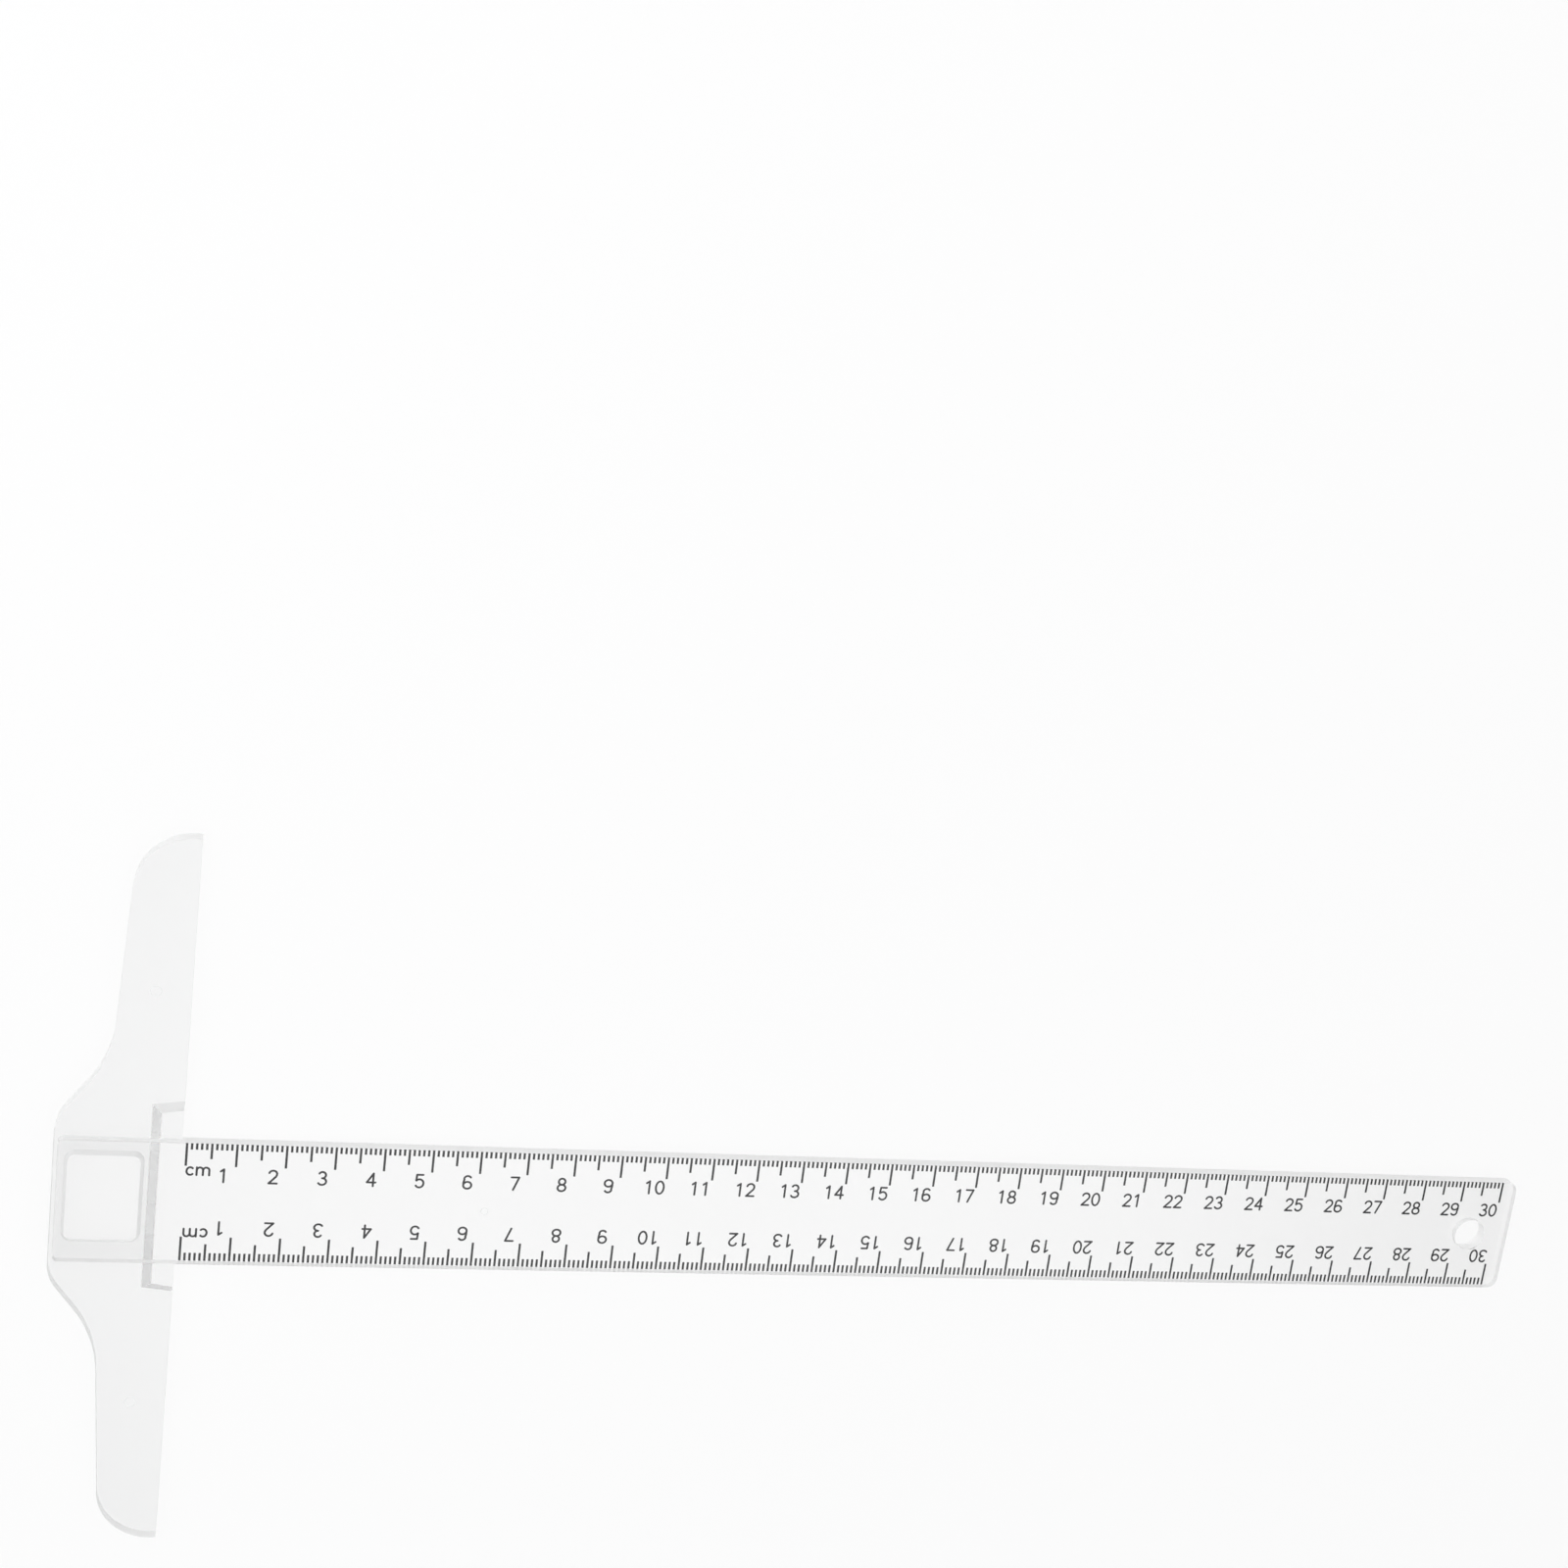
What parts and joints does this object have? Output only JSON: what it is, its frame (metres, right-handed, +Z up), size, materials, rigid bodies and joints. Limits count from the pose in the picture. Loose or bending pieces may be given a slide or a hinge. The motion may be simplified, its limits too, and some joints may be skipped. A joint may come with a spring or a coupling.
{
  "type": "t square",
  "caption": "Clear plastic T-square: a low head with a straight guide edge and a thin centimetre-graduated blade with a hang hole.",
  "frame": {"origin": "zero of the scale on the blade's centre line, on the blade's underside, which is the paper's plane", "axes": "+X along the blade away from the head, +Y across the blade, +Z up from the paper"},
  "size_m": [0.329, 0.155, 0.0048],
  "materials": {
    "head_plastic": "clear, polished moulding",
    "blade_plastic": "clear, polished moulding"
  },
  "bodies": {
    "root": {"head": "head_plastic", "blade": "blade_plastic"}
  },
  "joints": []
}
